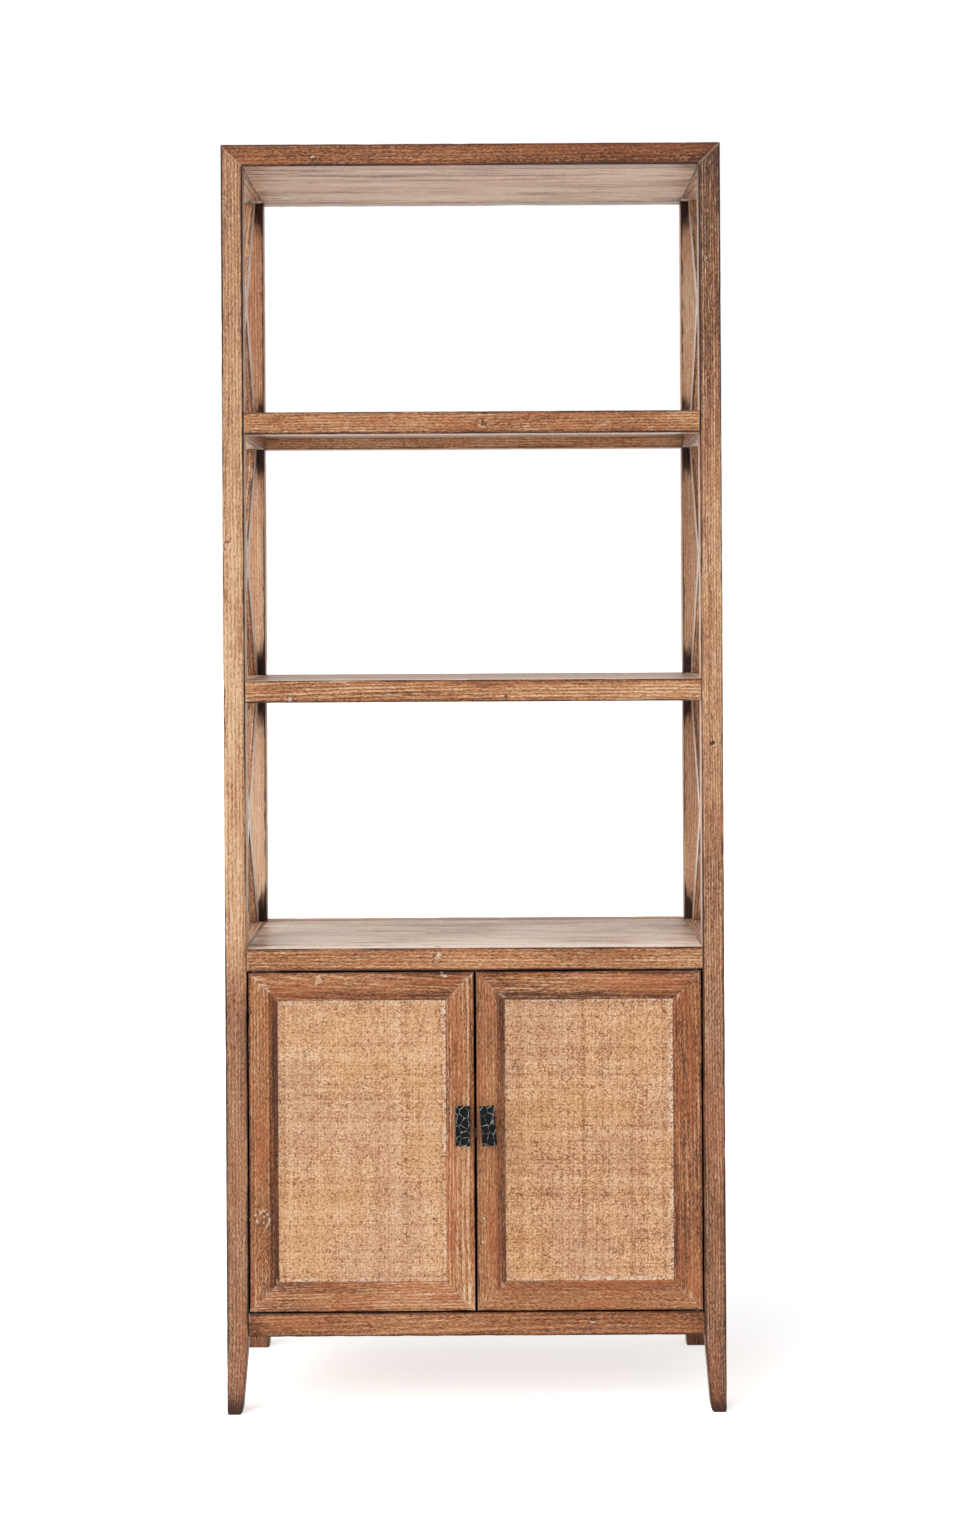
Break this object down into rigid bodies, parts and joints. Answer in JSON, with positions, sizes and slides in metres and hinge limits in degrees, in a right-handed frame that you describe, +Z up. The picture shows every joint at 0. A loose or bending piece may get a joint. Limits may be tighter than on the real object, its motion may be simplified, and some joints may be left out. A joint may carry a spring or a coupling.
{
  "type": "bookcase",
  "caption": "Tall bookcase with open bays, crossed slats at the sides and a cabinet with mitred doors and woven panels.",
  "frame": {"origin": "on the floor, at the middle of the whole box, which takes in the pulls in front", "axes": "+Z up, front of the bookcase towards -Y, +X to the right as seen from the front"},
  "size_m": [0.9, 0.425, 2.286],
  "materials": {
    "pine_frame": "brushed reclaimed pine, brown stain with cream filler in the grain, satin",
    "pine_boards": "brushed reclaimed pine boards, brown stain, satin wax",
    "pine_doors": "brushed reclaimed pine, brown stain with cream filler in the grain, satin",
    "woven_panel": "woven natural fibre, unfinished",
    "plywood": "stained plywood, matt",
    "blackened_iron": "hammered, blackened and waxed",
    "hinge_steel": "zinc plated",
    "screw_steel": "zinc plated",
    "catch_plastic": "moulded, brown"
  },
  "bodies": {
    "carcass": {"left_front_post": "pine_frame", "right_front_post": "pine_frame", "left_rear_post": "pine_frame", "right_rear_post": "pine_frame", "top_front_rail": "pine_frame", "top_rear_rail": "pine_frame", "top_side_rails": "pine_frame", "upper_shelf_front_rail": "pine_frame", "upper_shelf_rear_rail": "pine_frame", "upper_shelf_side_rails": "pine_frame", "lower_shelf_front_rail": "pine_frame", "lower_shelf_rear_rail": "pine_frame", "lower_shelf_side_rails": "pine_frame", "cabinet_top_front_rail": "pine_frame", "cabinet_top_rear_rail": "pine_frame", "cabinet_top_side_rails": "pine_frame", "base_front_rail": "pine_frame", "base_rear_rail": "pine_frame", "base_side_rails": "pine_frame", "left_upper_bay_rising_brace": "pine_frame", "left_upper_bay_falling_brace": "pine_frame", "left_middle_bay_rising_brace": "pine_frame", "left_middle_bay_falling_brace": "pine_frame", "left_lower_bay_rising_brace": "pine_frame", "left_lower_bay_falling_brace": "pine_frame", "right_upper_bay_rising_brace": "pine_frame", "right_upper_bay_falling_brace": "pine_frame", "right_middle_bay_rising_brace": "pine_frame", "right_middle_bay_falling_brace": "pine_frame", "right_lower_bay_rising_brace": "pine_frame", "right_lower_bay_falling_brace": "pine_frame", "top_boards": "pine_boards", "ceiling_boards": "pine_boards", "upper_shelf_boards": "pine_boards", "lower_shelf_boards": "pine_boards", "cabinet_top_boards": "pine_boards", "cabinet_side_panels": "pine_boards", "inner_shelf": "pine_boards", "cabinet_floor": "plywood", "cabinet_back": "plywood", "shelf_pins": "hinge_steel", "frame_pivots": "hinge_steel", "frame_screws": "screw_steel", "door_catches": "catch_plastic"},
    "left_door": {"left_door_stiles": "pine_doors", "left_door_rails": "pine_doors", "left_woven_panel": "woven_panel", "left_panel_backing": "plywood", "left_door_pivots": "hinge_steel", "left_door_screws": "screw_steel", "left_pull": "blackened_iron", "left_pull_fixing": "blackened_iron"},
    "right_door": {"right_door_stiles": "pine_doors", "right_door_rails": "pine_doors", "right_woven_panel": "woven_panel", "right_panel_backing": "plywood", "right_door_pivots": "hinge_steel", "right_door_screws": "screw_steel", "right_pull": "blackened_iron", "right_pull_fixing": "blackened_iron"}
  },
  "joints": [
    {"name": "left_door_hinge", "type": "hinge", "parent": "carcass", "child": "left_door", "pos_m": [-0.398, -0.1865, 0.4895], "axis": [0, 0, -1], "range_deg": [0, 110]},
    {"name": "right_door_hinge", "type": "hinge", "parent": "carcass", "child": "right_door", "pos_m": [0.398, -0.1865, 0.4895], "axis": [0, 0, 1], "range_deg": [0, 110]}
  ]
}
